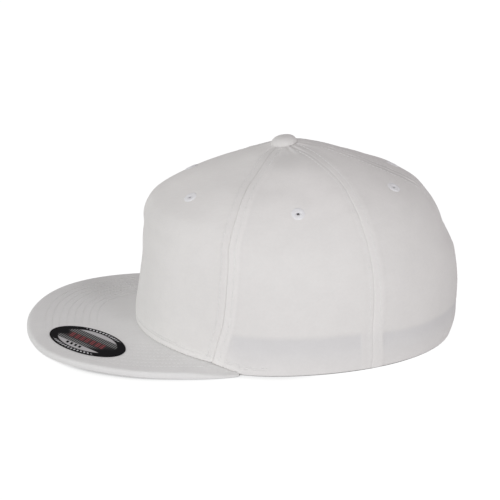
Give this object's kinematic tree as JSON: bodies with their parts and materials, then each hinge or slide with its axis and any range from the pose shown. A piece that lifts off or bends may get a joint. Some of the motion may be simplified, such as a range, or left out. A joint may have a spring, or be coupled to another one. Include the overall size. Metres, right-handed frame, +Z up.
{
  "type": "five-panel cap",
  "caption": "Flat-brim cap with a tall structured crown, stitched eyelets, a cloth-covered top button, a stiff visor and an inner sweatband.",
  "frame": {"origin": "on the table under the middle of the cap's box, visor included", "axes": "+Z up from the rim to the top button, -Y towards the visor's tip, +X towards the wearer's left side"},
  "size_m": [0.1808, 0.2734, 0.1295],
  "materials": {
    "crown_cloth": "fine white twill, matt with a slight sheen",
    "visor_cloth": "fine white twill over a stiff board, stitched in rows",
    "sweatband_cloth": "soft white woven band",
    "thread": "white satin-stitched thread",
    "sticker_foil": "thin printed foil, black with silver"
  },
  "bodies": {
    "root": {"front_panel": "crown_cloth", "side_panel_left": "crown_cloth", "side_panel_right": "crown_cloth", "back_panel_left": "crown_cloth", "back_panel_right": "crown_cloth", "top_button": "crown_cloth", "visor": "visor_cloth", "sweatband": "sweatband_cloth", "eyelet_front_left": "thread", "eyelet_front_right": "thread", "eyelet_side_left": "thread", "eyelet_side_right": "thread", "eyelet_back_left": "thread", "eyelet_back_right": "thread", "visor_sticker": "sticker_foil"}
  },
  "joints": []
}
